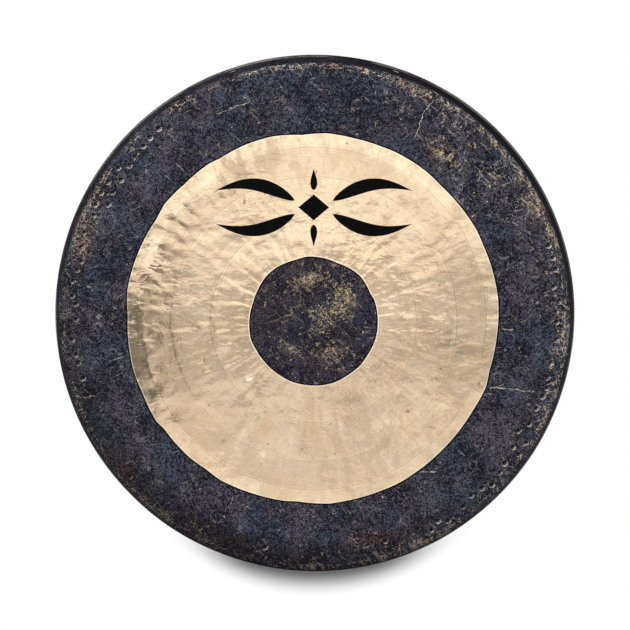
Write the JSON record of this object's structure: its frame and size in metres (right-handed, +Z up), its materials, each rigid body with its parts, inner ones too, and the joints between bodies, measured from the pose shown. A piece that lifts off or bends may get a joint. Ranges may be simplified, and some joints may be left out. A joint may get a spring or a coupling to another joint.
{
  "type": "tam-tam gong",
  "caption": "Large flat bronze gong with a shallow turned-back rim, a scraped bare ring between black scale on its middle and border, and hanging holes in the rim.",
  "frame": {"origin": "centre of the bounding box: on the gong's axis, midway between the front of the crown and the back edge of the rim", "axes": "-Y out of the struck face towards the player, +Y along the axis out of the open back, +Z up as the gong hangs, +X to the right seen from the front"},
  "size_m": [0.8644, 0.0728, 0.8644],
  "materials": {
    "bronze": "scraped and lacquered bell bronze with turning lines and hammer marks",
    "black_scale": "blue-black forging scale, mottled, flecked with bronze where it is worn",
    "dull_scale": "duller and rougher scale on the back",
    "black_ink": "opaque black printing ink"
  },
  "bodies": {
    "root": {"bronze_sheet": "bronze", "front_border_scale": "black_scale", "front_middle_scale": "black_scale", "back_border_scale": "dull_scale", "back_middle_scale": "dull_scale", "printed_lozenge": "black_ink", "printed_blade_upper_left": "black_ink", "printed_blade_upper_right": "black_ink", "printed_blade_lower_left": "black_ink", "printed_blade_lower_right": "black_ink", "printed_spike_upper": "black_ink", "printed_spike_lower": "black_ink"}
  },
  "joints": []
}
